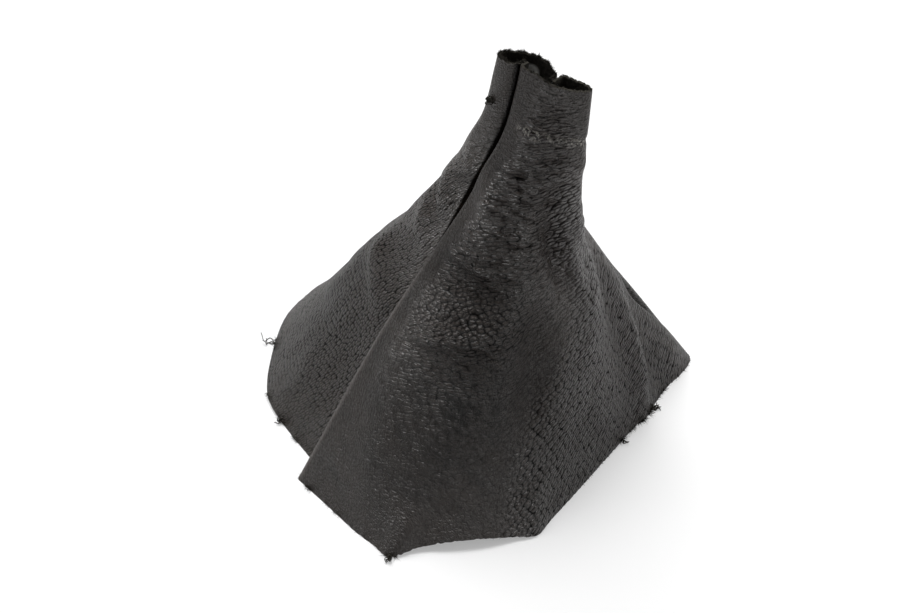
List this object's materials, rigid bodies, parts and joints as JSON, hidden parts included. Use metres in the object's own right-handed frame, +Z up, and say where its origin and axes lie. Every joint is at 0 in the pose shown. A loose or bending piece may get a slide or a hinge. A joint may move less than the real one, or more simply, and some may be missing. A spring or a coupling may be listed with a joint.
{
  "type": "gear lever gaiter",
  "caption": "Soft leather skirt with a flattened neck for a gear lever and a wide open hem, sewn from two panels along two turned seams.",
  "frame": {"origin": "middle of the footprint, on the surface that the hem stands on", "axes": "+Z up from the hem to the neck, +X along the long side of the flattened neck, +Y away from the front panel"},
  "size_m": [0.1882, 0.1828, 0.1965],
  "materials": {
    "leather": "soft grained black leather, satin, grain side out and raw cut edges",
    "thread": "bonded black sewing thread, matt"
  },
  "bodies": {
    "root": {"front_panel": "leather", "rear_panel": "leather", "front_left_needle_thread": "thread", "front_left_bobbin_thread": "thread", "rear_right_needle_thread": "thread", "rear_right_bobbin_thread": "thread"}
  },
  "joints": []
}
